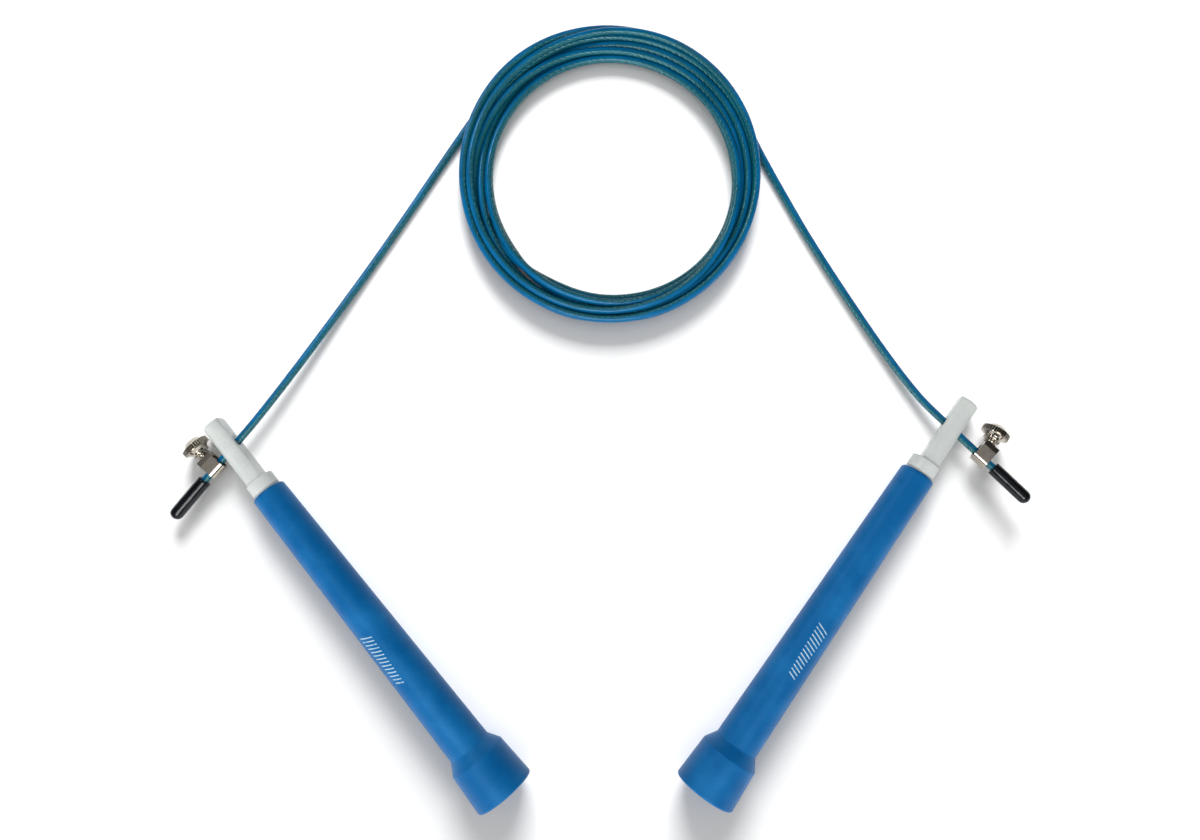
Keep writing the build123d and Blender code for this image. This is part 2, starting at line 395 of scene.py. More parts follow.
class Tree:
    """A short way to add and join nodes in a shader or geometry node tree."""

    def __init__(self, tree: bpy.types.NodeTree) -> None:
        """Keep the tree that the nodes are added to."""
        self.tree = tree

    def add(self, kind: str, settings: dict | None = None, **values: object) -> bpy.types.Node:
        """Add a node, with its settings and its sockets' values or links.

        Args:
            kind: The node's type name.
            settings: The node's own properties.
            **values: Socket name, with underscores for spaces, to a plain value or an output socket.

        Returns:
            The new node.
        """
        node = self.tree.nodes.new(kind)
        for name, value in (settings or {}).items():
            setattr(node, name, value)
        for name, value in values.items():
            self.feed(node, name.replace("_", " "), value)
        return node

    def feed(self, node: bpy.types.Node, name: str | int, value: object) -> None:
        """Link an output to a socket, or set the socket's value.

        Args:
            node: The node that is fed.
            name: The socket's name or number.
            value: An output socket or a plain value.
        """
        socket = node.inputs[name]
        if isinstance(value, bpy.types.NodeSocket):
            self.tree.links.new(value, socket)
        else:
            socket.default_value = value

    def maths(self, operation: str, *values: object) -> Socket:
        """Add a Math node and return its output."""
        node = self.tree.nodes.new("ShaderNodeMath")
        node.operation = operation
        for index, value in enumerate(values):
            self.feed(node, index, value)
        return node.outputs[0]

    def ramp(self, value: Socket, low: float, high: float, out: Point = (0.0, 1.0)) -> Socket:
        """Add a clamped Map Range from low..high to out and return its output."""
        node = self.add("ShaderNodeMapRange", None, Value=value, From_Min=low, From_Max=high)
        node.inputs["To Min"].default_value = out[0]
        node.inputs["To Max"].default_value = out[1]
        return node.outputs["Result"]

    def blend(self, mask: object, first: object, second: object) -> Socket:
        """Add a colour Mix node and return its output."""
        node = self.tree.nodes.new("ShaderNodeMix")
        node.data_type = "RGBA"
        self.feed(node, 0, mask)
        self.feed(node, 6, first)
        self.feed(node, 7, second)
        return node.outputs[2]

    def vector(self, operation: str, first: object, second: object) -> bpy.types.Node:
        """Add a Vector Math node on two vectors, or on a vector and a scale, and return it."""
        node = self.add("ShaderNodeVectorMath", {"operation": operation})
        self.feed(node, 0, first)
        self.feed(node, "Scale" if operation == "SCALE" else 1, second)
        return node

    def place(self) -> Socket:
        """Return the object coordinates."""
        return self.add("ShaderNodeTexCoord").outputs["Object"]

    def noise(self, place: Socket, scale: object, detail: float) -> Socket:
        """Add a Noise Texture and return its Fac."""
        node = self.add("ShaderNodeTexNoise", None, Vector=place, Scale=scale, Detail=detail)
        return node.outputs["Fac"]

    def bump(self, height: Socket, strength: object) -> Socket:
        """Add a shallow Bump and return its Normal."""
        node = self.add("ShaderNodeBump", None, Height=height, Strength=strength)
        node.inputs["Distance"].default_value = BUMP_DEPTH
        return node.outputs["Normal"]

    def out(self, kind: str, name: str, **values: object) -> Socket:
        """Add a node with its sockets' values or links and return one of its outputs."""
        return self.add(kind, None, **values).outputs[name]


def group_sockets(group: bpy.types.NodeTree, inputs: dict[str, tuple], outputs: dict[str, str]) -> None:
    """Declare a group's sockets.

    Args:
        group: The node group.
        inputs: Name to (socket type, default value or None).
        outputs: Name to socket type.
    """
    for name, (kind, default) in inputs.items():
        socket = group.interface.new_socket(name=name, in_out="INPUT", socket_type=kind)
        if default is not None:
            socket.default_value = default
    for name, kind in outputs.items():
        group.interface.new_socket(name=name, in_out="OUTPUT", socket_type=kind)


FLOAT = "NodeSocketFloat"
COLOUR = "NodeSocketColor"
VECTOR = "NodeSocketVector"
INTEGER = "NodeSocketInt"
GEOMETRY = "NodeSocketGeometry"
MATERIAL = "NodeSocketMaterial"


def skin_group(name: str, inputs: dict[str, tuple]) -> tuple[Group, Tree, Sockets]:
    """Start a shader group that gives a surface its Colour, Roughness and Normal.

    Args:
        name: The group's name.
        inputs: Name to (socket type, default value).

    Returns:
        The group, its tree helper and its input node's outputs.
    """
    group = bpy.data.node_groups.new(name, "ShaderNodeTree")
    group_sockets(group, inputs, {"Colour": COLOUR, "Roughness": FLOAT, "Normal": VECTOR})
    tree = Tree(group)
    return group, tree, tree.add("NodeGroupInput").outputs


def finish_skin(tree: Tree, colour: Socket, roughness: Socket, normal: Socket) -> None:
    """End a shader group in its three outputs."""
    tree.add("NodeGroupOutput", None, Colour=colour, Roughness=roughness, Normal=normal)


def moulded_skin_group() -> Group:
    """Build the group that gives moulded plastic its fine texture and its handled look.

    Returns:
        A shader group with Tint, Patch colour and sizes in, and Colour, Roughness and Normal out.
    """
    inputs = {
        "Tint": (COLOUR, (0.5, 0.5, 0.5, 1)),
        "Patch Tint": (COLOUR, (0.6, 0.6, 0.6, 1)),
        "Patch Size": (FLOAT, 60.0),
        "Grain Size": (FLOAT, 2500.0),
        "Grain Depth": (FLOAT, 0.1),
        "Roughness": (FLOAT, 0.4),
        "Rub": (FLOAT, 0.1),
    }
    group, tree, given = skin_group("moulded_skin", inputs)
    place = tree.place()
    patch = tree.ramp(tree.noise(place, given["Patch Size"], 3.0), 0.42, 0.68)
    grain = tree.noise(place, given["Grain Size"], 2.0)
    rubs = tree.noise(place, tree.maths("MULTIPLY", given["Patch Size"], 4.0), 4.0)
    rub = tree.maths("MULTIPLY", tree.ramp(rubs, 0.5, 0.75), given["Rub"])
    colour = tree.blend(patch, given["Tint"], given["Patch Tint"])
    flecked = tree.vector("SCALE", colour, tree.ramp(grain, 0.3, 0.7, (0.93, 1.07)))
    rough = tree.maths("ADD", given["Roughness"], rub)
    rough = tree.maths("ADD", rough, tree.ramp(grain, 0.3, 0.7, (-0.03, 0.03)))
    finish_skin(tree, flecked.outputs[0], rough, tree.bump(grain, given["Grain Depth"]))
    return group


def handled_metal_group() -> Group:
    """Build the group that gives plated metal its faint scratches, smears and ripple.

    Returns:
        A shader group with Tint, Stain colour and sizes in, and Colour, Roughness and Normal out.
    """
    inputs = {
        "Tint": (COLOUR, (0.6, 0.6, 0.6, 1)),
        "Stain Tint": (COLOUR, (0.4, 0.35, 0.3, 1)),
        "Stain": (FLOAT, 0.3),
        "Roughness": (FLOAT, 0.15),
        "Scratch": (FLOAT, 0.1),
        "Ripple": (FLOAT, 0.1),
    }
    group, tree, given = skin_group("handled_metal", inputs)
    place = tree.place()
    stain = tree.maths("MULTIPLY", tree.ramp(tree.noise(place, 260.0, 4.0), 0.45, 0.7), given["Stain"])
    stretch = tree.add(
        "ShaderNodeMapping", None,
        Vector=place, Scale=(4000.0, 500.0, 900.0), Rotation=(0.3, 0.7, 0.2),
    )
    lines = tree.noise(stretch.outputs["Vector"], 1.0, 2.0)
    scratch = tree.maths("MULTIPLY", tree.ramp(lines, 0.58, 0.72), given["Scratch"])
    rough = tree.maths("ADD", given["Roughness"], scratch)
    rough = tree.maths("ADD", rough, tree.maths("MULTIPLY", stain, 0.35))
    colour = tree.blend(stain, given["Tint"], given["Stain Tint"])
    finish_skin(tree, colour, rough, tree.bump(tree.noise(place, 700.0, 1.0), given["Ripple"]))
    return group


# ---------------------------------------------------------------- finishes


Colour = tuple[float, float, float, float]


def new_material(name: str) -> tuple[bpy.types.Material, Tree, bpy.types.Node]:
    """Start a material.

    Args:
        name: The material's name.

    Returns:
        The material, its tree and its Principled BSDF node.
    """
    material = bpy.data.materials.new(name)
    material.use_nodes = True
    tree = Tree(material.node_tree)
    return material, tree, material.node_tree.nodes["Principled BSDF"]


def placed_group(tree: Tree, group: bpy.types.NodeTree, shader: bpy.types.Node, finish: object) -> None:
    """Place a skin group in a material and feed the shader from it.

    Args:
        tree: The material's tree.
        group: The group to place.
        shader: The Principled BSDF that it feeds.
        finish: Has a field for each of the group's inputs, named like it.
    """
    node = tree.add("ShaderNodeGroup", {"node_tree": group})
    for socket in node.inputs:
        socket.default_value = getattr(finish, socket.name.lower().replace(" ", "_"))
    tree.feed(shader, "Base Color", node.outputs["Colour"])
    tree.feed(shader, "Roughness", node.outputs["Roughness"])
    tree.feed(shader, "Normal", node.outputs["Normal"])


def set_constants(shader: bpy.types.Node, values: dict[str, object]) -> None:
    """Set the shader's own sockets that nothing feeds."""
    for name, value in values.items():
        shader.inputs[name].default_value = value


@dataclass(frozen=True)
class MouldedPlastic:
    """A moulded plastic: its colour, lighter patches, fine texture and gloss."""

    name: str
    tint: Colour
    patch_tint: Colour
    patch_size: float = 60.0
    grain_size: float = 2500.0
    grain_depth: float = 0.12
    roughness: float = 0.42
    rub: float = 0.08
    specular: float = 0.3
    specular_tint: Colour = (1.0, 1.0, 1.0, 1)
    coat: float = 0.0
    coat_roughness: float = 0.08
    glow: float = 0.08
    glow_depth: float = 0.0

    def build(self, skin: bpy.types.NodeTree) -> bpy.types.Material:
        """Make the material from the shared moulded skin group."""
        material, tree, shader = new_material(self.name)
        placed_group(tree, skin, shader, self)
        constants = {
            "Specular IOR Level": self.specular,
            "Specular Tint": self.specular_tint,
            "Coat Weight": self.coat,
            "Coat Roughness": self.coat_roughness,
        }
        if self.glow_depth:
            constants["Subsurface Weight"] = self.glow
            constants["Subsurface Radius"] = (1.0, 0.95, 0.9)
            constants["Subsurface Scale"] = self.glow_depth * MM
        set_constants(shader, constants)
        return material


@dataclass(frozen=True)
class PlatedMetal:
    """A plated or bright metal: its colour, stain, gloss and fine scratches."""

    name: str
    tint: Colour
    stain_tint: Colour
    stain: float = 0.3
    roughness: float = 0.14
    scratch: float = 0.1
    ripple: float = 0.12

    def build(self, skin: bpy.types.NodeTree) -> bpy.types.Material:
        """Make the material from the shared handled metal group."""
        material, tree, shader = new_material(self.name)
        placed_group(tree, skin, shader, self)
        set_constants(shader, {"Metallic": 1.0})
        return material


@dataclass(frozen=True)
class ClearCoat:
    """The cable's blue plastic coat, thicker on one side and thin over the wire core on the other; its
    bright blue side is also a painted lit side and its darker teal side painted shade.
    """

    name: str
    thick_lit_tint: Colour = (0.0, 0.125, 0.310, 1)
    thin_shaded_tint: Colour = (0.0, 0.110, 0.155, 1)
    thick_cover: float = 0.93
    thin_cover: float = 0.70
    roughness: float = 0.14
    unevenness: float = 0.12
    streak_depth: float = 0.06

    def build(self) -> bpy.types.Material:
        """Make the see-through coat, a little cloudy and uneven along its length."""
        material, tree, shader = new_material(self.name)
        place = tree.place()
        cloud = tree.noise(place, 90.0, 3.0)
        streak = tree.noise(place, 900.0, 2.0)
        side = tree.add("ShaderNodeAttribute", {"attribute_name": "side"}).outputs["Fac"]
        wavy = tree.maths("ADD", side, tree.ramp(cloud, 0.3, 0.7, (-0.22, 0.22)))
        thick_and_lit = tree.ramp(wavy, -0.35, 0.3)
        # Painted light and shade: the side left of the cable's travel gets the bright blue of a lit side,
        # the other side the darker teal of a shaded side, along with the real thinner coat over the shifted
        # wire there.
        tint = tree.blend(thick_and_lit, self.thin_shaded_tint, self.thick_lit_tint)
        shade = tree.vector("SCALE", tint, tree.ramp(cloud, 0.3, 0.7, (0.86, 1.12)))
        gloss = (self.roughness, self.roughness + self.unevenness)
        tree.feed(shader, "Base Color", shade.outputs[0])
        tree.feed(shader, "Alpha", tree.ramp(thick_and_lit, 0.0, 1.0, (self.thin_cover, self.thick_cover)))
        tree.feed(shader, "Roughness", tree.ramp(streak, 0.3, 0.7, gloss))
        tree.feed(shader, "Normal", tree.bump(streak, self.streak_depth))
        tint = (0.55, 0.85, 1.0, 1)
        set_constants(shader, {"IOR": 1.5, "Specular IOR Level": 0.3, "Specular Tint": tint})
        return material


@dataclass(frozen=True)
class PrintInk:
    """Pale pad-printed ink, a little worn."""

    name: str
    tint: Colour = (0.42, 0.58, 0.68, 1)
    worn_tint: Colour = (0.10, 0.30, 0.52, 1)

    def build(self) -> bpy.types.Material:
        """Make the ink, thinner in small worn spots."""
        material, tree, shader = new_material(self.name)
        wear = tree.noise(tree.place(), 1500.0, 3.0)
        worn = tree.ramp(wear, 0.48, 0.7)
        tree.feed(shader, "Base Color", tree.blend(worn, self.tint, self.worn_tint))
        tree.feed(shader, "Roughness", tree.ramp(wear, 0.3, 0.7, (0.35, 0.5)))
        return material


class Finishes:
    """Every material of the rope, built once."""

    def __init__(self) -> None:
        """Build the shared groups and the materials."""
        plastic = moulded_skin_group()
        metal = handled_metal_group()
        sheen = (0.25, 0.62, 1.0, 1)
        blue = MouldedPlastic(
            "grip_plastic", (0.0010, 0.100, 0.300, 1), (0.006, 0.135, 0.370, 1),
            patch_size=75.0, grain_depth=0.5, specular=0.4, specular_tint=sheen,
        )
        plug = MouldedPlastic(
            "plug_plastic", (0.0010, 0.080, 0.25, 1), (0.005, 0.110, 0.31, 1),
            roughness=0.36, specular=0.3, specular_tint=sheen,
        )
        nylon = MouldedPlastic(
            "nylon", (0.56, 0.595, 0.58, 1), (0.63, 0.66, 0.64, 1),
            patch_size=110.0, grain_depth=0.06, roughness=0.3, rub=0.05, glow_depth=0.6,
        )
        vinyl = MouldedPlastic(
            "cap_vinyl", (0.0015, 0.003, 0.005, 1), (0.004, 0.006, 0.009, 1),
            patch_size=200.0, grain_size=1200.0, grain_depth=0.08, roughness=0.14, rub=0.05,
            specular=0.2, coat=0.2,
        )
        self.grip = blue.build(plastic)
        self.plug = plug.build(plastic)
        self.nylon = nylon.build(plastic)
        self.vinyl = vinyl.build(plastic)
        nickel = PlatedMetal(
            "nickel_plate", (0.47, 0.43, 0.37, 1), (0.20, 0.16, 0.11, 1), roughness=0.1, ripple=0.06
        )
        zinc = PlatedMetal("zinc_steel", (0.58, 0.59, 0.60, 1), (0.36, 0.34, 0.30, 1), roughness=0.3)
        wire = PlatedMetal(
            "wire_core", (0.38, 0.62, 0.60, 1), (0.16, 0.34, 0.38, 1), roughness=0.24, ripple=0.3
        )
        self.nickel = nickel.build(metal)
        self.zinc = zinc.build(metal)
        self.wire = wire.build(metal)
        self.coat = ClearCoat("cable_coat").build()
        self.ink = PrintInk("print_ink").build()


# ---------------------------------------------------------------- geometry node pieces


def geometry_group(name: str, inputs: dict[str, tuple]) -> tuple[Group, Tree, Sockets]:
    """Start a geometry node group with a geometry socket each way and named inputs.

    Args:
        name: The group's name.
        inputs: Name to (socket type, default value or None).

    Returns:
        The group, its tree helper and its input node's outputs.
    """
    group = bpy.data.node_groups.new(name, "GeometryNodeTree")
    inputs = {"Geometry": (GEOMETRY, None), **inputs, "Material": (MATERIAL, None)}
    group_sockets(group, inputs, {"Geometry": GEOMETRY})
    tree = Tree(group)
    return group, tree, tree.add("NodeGroupInput").outputs


def finish_group(tree: Tree, given: Sockets, geometry: Socket, smooth: bool = False) -> None:
    """End a geometry tree in Realize Instances and Set Material.

    Args:
        tree: The tree helper.
        given: The group's inputs.
        geometry: The geometry to send out.
        smooth: Whether it is shaded smooth.
    """
    if smooth:
        geometry = tree.out("GeometryNodeSetShadeSmooth", "Geometry", Geometry=geometry)
    real = tree.out("GeometryNodeRealizeInstances", "Geometry", Geometry=geometry)
    material = given["Material"]
    painted = tree.out("GeometryNodeSetMaterial", "Geometry", Geometry=real, Material=material)
    tree.add("NodeGroupOutput", None, Geometry=painted)


def grown(
    name: str, group: Group, values: dict[str, object], base: bpy.types.Object | None = None
) -> bpy.types.Object:
    """Run a geometry node group and return its result as a plain mesh object.

    Args:
        name: The new object's name.
        group: The geometry node group.
        values: Input name to value, sizes in metres and angles in radians.
        base: The object whose geometry goes in, or None for an empty mesh.

    Returns:
        The plain mesh object.
    """
    if base is None:
        base = bpy.data.objects.new(name, bpy.data.meshes.new(name))
        bpy.context.scene.collection.objects.link(base)
    modifier = base.modifiers.new("grow", "NODES")
    modifier.node_group = group
    for item in group.interface.items_tree:
        if item.in_out == "INPUT" and item.name in values:
            modifier[item.identifier] = values[item.name]
    return baked(base)


def turned_to_x(tree: Tree, geometry: Socket) -> Socket:
    """Turn geometry made along the Z axis so that it lies along X."""
    turn = (0.0, math.pi / 2, 0.0)
    return tree.out("GeometryNodeTransform", "Geometry", Geometry=geometry, Rotation=turn)


def resampled(tree: Tree, given: Sockets) -> Socket:
    """Space the points of the incoming curve evenly, by the input Step."""
    node = tree.add("GeometryNodeResampleCurve", {"mode": "LENGTH"}, Length=given["Step"])
    tree.feed(node, "Curve", given["Geometry"])
    return node.outputs["Curve"]


def swept(tree: Tree, line: Socket, profile: Socket) -> Socket:
    """Sweep a closed profile along a curve and cap its ends."""
    return tree.out("GeometryNodeCurveToMesh", "Mesh", Curve=line, Profile_Curve=profile, Fill_Caps=True)


def circle(tree: Tree, resolution: object, radius: object) -> Socket:
    """Add a curve circle."""
    return tree.out("GeometryNodeCurvePrimitiveCircle", "Curve", Resolution=resolution, Radius=radius)


def position(tree: Tree) -> Socket:
    """Return the position field."""
    return tree.out("GeometryNodeInputPosition", "Position")


def leftward(tree: Tree) -> Socket:
    """Return a field that points level and to the left of a curve's direction of travel."""
    tangent = tree.out("GeometryNodeInputTangent", "Tangent")
    across = tree.vector("CROSS_PRODUCT", (0.0, 0.0, 1.0), tangent)
    level = tree.add("ShaderNodeVectorMath", {"operation": "NORMALIZE"})
    tree.feed(level, 0, across.outputs[0])
    return level.outputs[0]


def ridge_ring_group() -> Group:
    """Build the tree that sets round ridges side by side round the X axis, as on a knurled rim."""
    inputs = {
        "Count": (INTEGER, 28),
        "Ring Radius": (FLOAT, 0.0047),
        "Ridge Radius": (FLOAT, 0.0004),
        "Ridge Length": (FLOAT, 0.002),
    }
    group, tree, given = geometry_group("ridge_ring", inputs)
    ring = tree.out("GeometryNodeMeshCircle", "Mesh", Vertices=given["Count"], Radius=given["Ring Radius"])
    ridge = tree.add("GeometryNodeMeshCylinder", {"fill_type": "NGON"}, Vertices=10, Radius=1.0, Depth=2.0)
    width = given["Ridge Radius"]
    half = tree.maths("MULTIPLY", given["Ridge Length"], 0.5)
    size = tree.out("ShaderNodeCombineXYZ", "Vector", X=width, Y=width, Z=half)
    ridge = ridge.outputs["Mesh"]
    bars = tree.out("GeometryNodeInstanceOnPoints", "Instances", Points=ring, Instance=ridge, Scale=size)
    finish_group(tree, given, turned_to_x(tree, bars))
    return group


def thread_group() -> Group:
    """Build the tree that winds a thread's crest along the X axis."""
    inputs = {
        "Turns": (FLOAT, 5.0),
        "Crest Radius": (FLOAT, 0.0016),
        "Length": (FLOAT, 0.004),
        "Crest Size": (FLOAT, 0.0003),
    }
    group, tree, given = geometry_group("screw_thread", inputs)
    helix = tree.out(
        "GeometryNodeCurveSpiral", "Curve", Resolution=40, Rotations=given["Turns"],
        Start_Radius=given["Crest Radius"], End_Radius=given["Crest Radius"], Height=given["Length"],
    )
    wound = swept(tree, helix, circle(tree, 6, given["Crest Size"]))
    finish_group(tree, given, turned_to_x(tree, wound), smooth=True)
    return group


def cable_coat_group() -> Group:
    """Build the tree that sweeps the round coat along the cable's line.

    Each point keeps how far to the left of the cable's travel it lies, from -1 to 1, in the
    attribute "side".
    """
    inputs = {"Radius": (FLOAT, 0.00135), "Facets": (INTEGER, 18), "Step": (FLOAT, 0.0013)}
    group, tree, given = geometry_group("cable_coat", inputs)
    kept = tree.add("GeometryNodeCaptureAttribute", None, Geometry=resampled(tree, given))
    for name in ("Middle", "Leftward"):
        kept.capture_items.new("VECTOR", name)
    tree.feed(kept, "Middle", position(tree))
    tree.feed(kept, "Leftward", leftward(tree))
    tube = swept(tree, kept.outputs["Geometry"], circle(tree, given["Facets"], given["Radius"]))
    away = tree.vector("SUBTRACT", position(tree), kept.outputs["Middle"])
    reach = tree.vector("DOT_PRODUCT", away.outputs[0], kept.outputs["Leftward"])
    side = tree.maths("DIVIDE", reach.outputs["Value"], given["Radius"])
    sided = tree.out("GeometryNodeStoreNamedAttribute", "Geometry", Geometry=tube, Name="side", Value=side)
    finish_group(tree, given, sided, smooth=True)
    return group


def wire_core_group() -> Group:
    """Build the tree that sweeps a fluted, steadily twisting profile along the cable's line."""
    inputs = {
        "Lobe Offset": (FLOAT, 0.00068),
        "Lobe Radius": (FLOAT, 0.00014),
        "Lobes": (INTEGER, 7),
        "Lay Length": (FLOAT, 0.016),
        "Step": (FLOAT, 0.0012),
        "Side Shift": (FLOAT, -0.0003),
    }
    group, tree, given = geometry_group("wire_core", inputs)
    shift = tree.vector("SCALE", leftward(tree), given["Side Shift"]).outputs[0]
    moved = tree.out("GeometryNodeSetPosition", "Geometry", Geometry=resampled(tree, given), Offset=shift)
    run = tree.out("GeometryNodeSplineParameter", "Length")
    tilt = tree.maths("MULTIPLY", tree.maths("DIVIDE", run, given["Lay Length"]), 2 * math.pi)
    twisted = tree.out("GeometryNodeSetCurveTilt", "Curve", Curve=moved, Tilt=tilt)
    profile = circle(tree, tree.maths("MULTIPLY", given["Lobes"], 4.0), 1.0)
    angle = tree.maths("MULTIPLY", tree.out("GeometryNodeSplineParameter", "Factor"), 2 * math.pi)
    wave = tree.maths("COSINE", tree.maths("MULTIPLY", angle, given["Lobes"]))
    reach = tree.maths("ADD", given["Lobe Offset"], tree.maths("MULTIPLY", given["Lobe Radius"], wave))
    spot = tree.vector("SCALE", position(tree), reach).outputs[0]
    fluted = tree.out("GeometryNodeSetPosition", "Geometry", Geometry=profile, Position=spot)
    finish_group(tree, given, swept(tree, twisted, fluted), smooth=True)
    return group


def print_bars_group() -> Group:
    """Build the tree that lays a row of slanted printed bars on a cone round the X axis."""
    inputs = {
        "Count": (INTEGER, 14),
        "Spacing": (FLOAT, 0.00147),
        "Bar Width": (FLOAT, 0.00045),
        "Bar Height": (FLOAT, 0.0048),
        "Taper": (FLOAT, 0.00012),
        "Slant": (FLOAT, 0.4),
        "Start": (FLOAT, -0.06),
        "Turn": (FLOAT, 0.0),
        "Near Radius": (FLOAT, 0.0062),
        "Radius Slope": (FLOAT, 0.0149),
        "Lift": (FLOAT, 0.00003),
    }
    group, tree, given = geometry_group("print_bars", inputs)
    pitch = tree.out("ShaderNodeCombineXYZ", "Vector", X=tree.maths("MULTIPLY", given["Spacing"], -1.0))
    row = tree.out("GeometryNodeMeshLine", "Mesh", Count=given["Count"], Offset=pitch)
    bar = tree.out("GeometryNodeMeshGrid", "Mesh", Size_X=1.0, Size_Y=1.0, Vertices_X=3, Vertices_Y=9)
    taper = tree.maths("MULTIPLY", tree.out("GeometryNodeInputIndex", "Index"), given["Taper"])
    height = tree.maths("SUBTRACT", given["Bar Height"], taper)
    size = tree.out("ShaderNodeCombineXYZ", "Vector", X=given["Bar Width"], Y=height, Z=1.0)
    bars = tree.out("GeometryNodeInstanceOnPoints", "Instances", Points=row, Instance=bar, Scale=size)
    real = tree.out("GeometryNodeRealizeInstances", "Geometry", Geometry=bars)
    spot = tree.add("ShaderNodeSeparateXYZ", None, Vector=position(tree)).outputs
    slanted = tree.maths("ADD", spot["X"], tree.maths("MULTIPLY", spot["Y"], given["Slant"]))
    along = tree.maths("ADD", slanted, given["Start"])
    narrowing = tree.maths("MULTIPLY", along, given["Radius Slope"])
    radius = tree.maths("SUBTRACT", given["Near Radius"], narrowing)
    raised = tree.maths("ADD", radius, given["Lift"])
    angle = tree.maths("ADD", tree.maths("DIVIDE", spot["Y"], radius), given["Turn"])
    across = tree.maths("MULTIPLY", raised, tree.maths("SINE", angle))
    up = tree.maths("MULTIPLY", raised, tree.maths("COSINE", angle))
    wrapped = tree.out("ShaderNodeCombineXYZ", "Vector", X=along, Y=across, Z=up)
    laid = tree.out("GeometryNodeSetPosition", "Geometry", Geometry=real, Position=wrapped)
    finish_group(tree, given, laid)
    return group


class Growers:
    """The geometry node groups, built once."""

    def __init__(self) -> None:
        """Build every group."""
        self.ridges = ridge_ring_group()
        self.thread = thread_group()
        self.coat = cable_coat_group()
        self.core = wire_core_group()
        self.bars = print_bars_group()


# ---------------------------------------------------------------- the handle


@dataclass
class Grip:
    """Hollow tapered grip with a flared end, its end plug and its printed bars. Millimetres."""

    length: float = 134.0
    nose_radius: float = 6.2
    cone_end: float = 114.0
    cone_radius: float = 7.9
    shoulder_end: float = 118.3
    shoulder_radius: float = 10.5
    rim_radius: float = 11.4
    wall: float = 1.8
    bore: float = 2.58
    nose_depth: float = 15.0
    plug_radius: float = 9.35
    plug_thickness: float = 3.0
    plug_inset: float = 0.4

    def shell(self) -> bmesh.types.BMesh:
        """Turn the grip's whole closed outline, inside and outside."""
        seat = self.plug_radius + 0.04
        seat_depth = self.length - self.plug_inset - self.plug_thickness
        points = [
            (0, self.bore),
            (0, self.nose_radius),
            (-self.cone_end, self.cone_radius),
            (-self.shoulder_end, self.shoulder_radius),
            (-self.length, self.rim_radius),
            (-self.length, seat),
            (-seat_depth, seat),
            (-seat_depth, seat - 0.6),
            (-self.shoulder_end, seat - 0.6),
            (-self.cone_end + self.wall, self.cone_radius - self.wall),
            (-self.nose_depth, self.nose_radius - self.wall + 0.2),
            (-self.nose_depth, self.bore),
        ]
        rounds = {0: 0.25, 1: 1.2, 2: 1.6, 3: 0.9, 4: 0.9, 5: 0.25}
        return lathe(rounded_outline(points, rounds, closed=True, steps=7), 128, closed=True)

    def plug(self) -> bmesh.types.BMesh:
        """Turn the end plug: a disc with a shallow dished face and a rounded edge."""
        rear = -(self.length - self.plug_inset)
        front = rear + self.plug_thickness
        points = [
            (rear + 0.35, 0),
            (rear + 0.35, 5.2),
            (rear, 6.4),
            (rear, self.plug_radius),
            (front, self.plug_radius),
            (front, 0),
        ]
        return lathe(rounded_outline(points, {1: 1.5, 2: 1.5, 3: 0.35}), 96)

    def build(
        self, place: Place, finishes: Finishes, growers: Growers, mark_turn: float, mark_start: float
    ) -> None:
        """Make the grip, its plug and its print.

        Args:
            place: Where the handle lies.
            finishes: The materials.
            growers: The geometry node groups.
            mark_turn: How far round from the top the print is, in degrees.
            mark_start: Distance of the print's first bar from the nose.
        """
        body = place.node("handle")
        shell = place_mesh(self.shell(), place.node("grip_shell"), place.handle)
        dress(shell, finishes.grip, Slot.GRIP, body, place.node("grip"))
        disc = place_mesh(self.plug(), place.node("plug_disc"), place.handle)
        dress(disc, finishes.plug, Slot.PLUG, body, place.node("end_plug"))
        values = {
            "Start": -mark_start * MM,
            "Turn": math.radians(-mark_turn),
            "Near Radius": self.nose_radius * MM,
            "Radius Slope": (self.cone_radius - self.nose_radius) / self.cone_end,
            "Material": finishes.ink,
        }
        bars = grown(place.node("print"), growers.bars, values)
        bars.data.transform(place.handle @ Matrix.Scale(1 / MM, 4))
        dress(bars, finishes.ink, Slot.WASHER, body)


